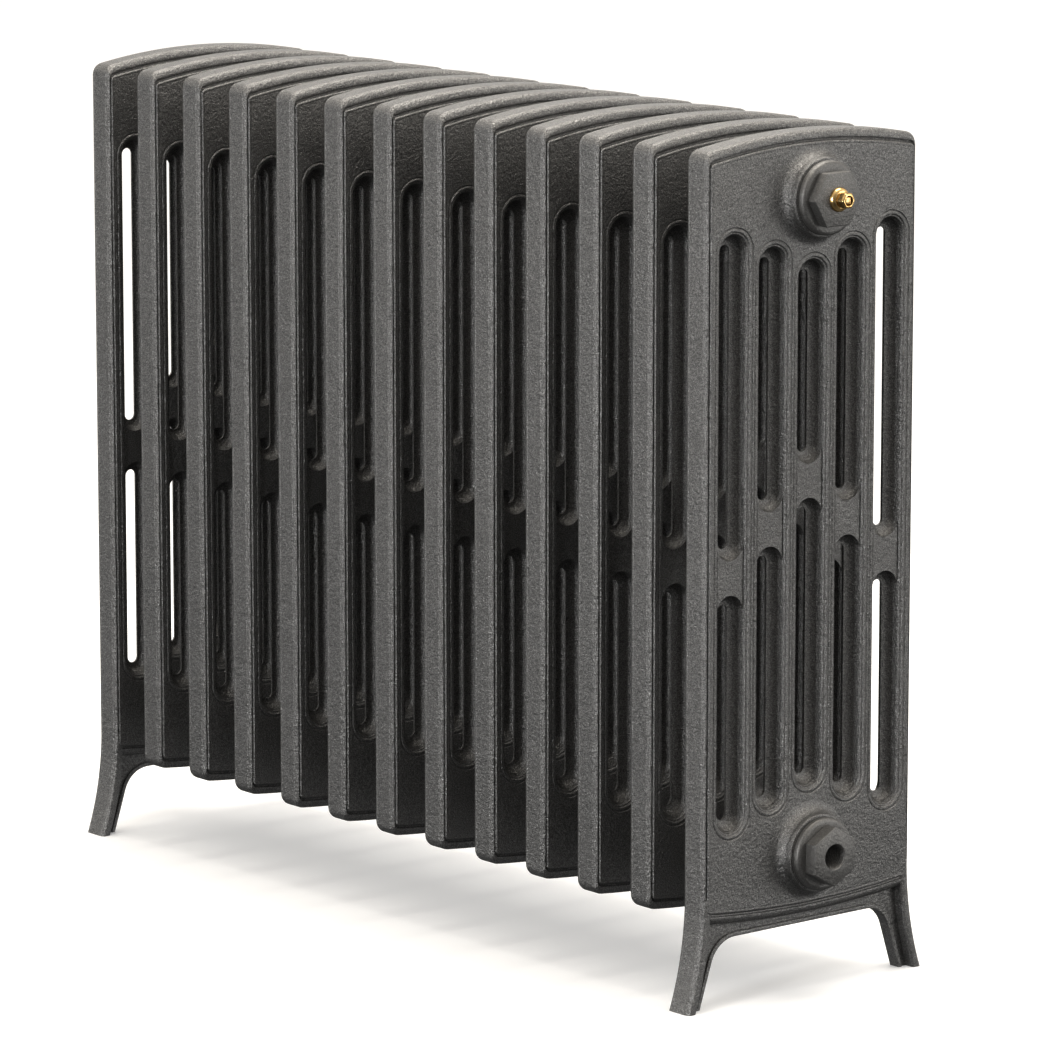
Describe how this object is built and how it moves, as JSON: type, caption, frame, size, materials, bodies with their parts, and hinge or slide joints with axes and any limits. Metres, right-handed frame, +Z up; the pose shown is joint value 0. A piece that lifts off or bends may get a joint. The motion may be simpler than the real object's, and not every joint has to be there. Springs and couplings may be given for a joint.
{
  "type": "cast iron column radiator",
  "caption": "Sectional cast-iron column radiator on flared feet, with slotted sections, end bushes, hex plugs and a brass air-bleed valve whose screw unscrews.",
  "frame": {"origin": "on the floor, under the middle of the whole part", "axes": "+X along the row of sections towards the end with the bleed valve, +Y through the depth, +Z up"},
  "size_m": [0.8436, 0.238, 0.657],
  "materials": {
    "cast_iron_paint": "dark grey satin paint over a fine sand-cast skin",
    "nipple_iron": "bare machined iron",
    "gasket": "matt flat gasket",
    "fitting_paint": "dark grey satin paint, smoother than the sections",
    "brass": "bright turned brass",
    "screw_brass": "turned brass, slightly duller",
    "seat_plastic": "off-white soft seat plastic"
  },
  "bodies": {
    "radiator": {"section_01": "cast_iron_paint", "section_02": "cast_iron_paint", "section_03": "cast_iron_paint", "section_04": "cast_iron_paint", "section_05": "cast_iron_paint", "section_06": "cast_iron_paint", "section_07": "cast_iron_paint", "section_08": "cast_iron_paint", "section_09": "cast_iron_paint", "section_10": "cast_iron_paint", "section_11": "cast_iron_paint", "section_12": "cast_iron_paint", "section_13": "cast_iron_paint", "nipple_top_01": "nipple_iron", "nipple_top_02": "nipple_iron", "nipple_top_03": "nipple_iron", "nipple_top_04": "nipple_iron", "nipple_top_05": "nipple_iron", "nipple_top_06": "nipple_iron", "nipple_top_07": "nipple_iron", "nipple_top_08": "nipple_iron", "nipple_top_09": "nipple_iron", "nipple_top_10": "nipple_iron", "nipple_top_11": "nipple_iron", "nipple_top_12": "nipple_iron", "nipple_bottom_01": "nipple_iron", "nipple_bottom_02": "nipple_iron", "nipple_bottom_03": "nipple_iron", "nipple_bottom_04": "nipple_iron", "nipple_bottom_05": "nipple_iron", "nipple_bottom_06": "nipple_iron", "nipple_bottom_07": "nipple_iron", "nipple_bottom_08": "nipple_iron", "nipple_bottom_09": "nipple_iron", "nipple_bottom_10": "nipple_iron", "nipple_bottom_11": "nipple_iron", "nipple_bottom_12": "nipple_iron", "top_gaskets": "gasket", "bottom_gaskets": "gasket", "vent_plug_gasket": "gasket", "inlet_bush_gasket": "gasket", "blank_plug_gasket": "gasket", "return_bush_gasket": "gasket", "vent_plug": "fitting_paint", "inlet_bush": "fitting_paint", "blank_plug": "fitting_paint", "return_bush": "fitting_paint", "bleed_valve_body": "brass"},
    "seat_tip": {"bleed_seat_tip": "seat_plastic"},
    "screw": {"bleed_screw": "screw_brass"}
  },
  "joints": [
    {"name": "tip_travel", "type": "slide", "parent": "radiator", "child": "seat_tip", "axis": [1, 0, 0], "range_m": [0, 0.0015]},
    {"name": "bleed_turn", "type": "hinge", "parent": "seat_tip", "child": "screw", "pos_m": [0.41065, 0, 0.608], "axis": [1, 0, 0], "range_deg": [0, 540]}
  ],
  "couplings": [
    {"joint": "bleed_turn", "follows": "tip_travel", "rad_per_m": 6283.2}
  ]
}
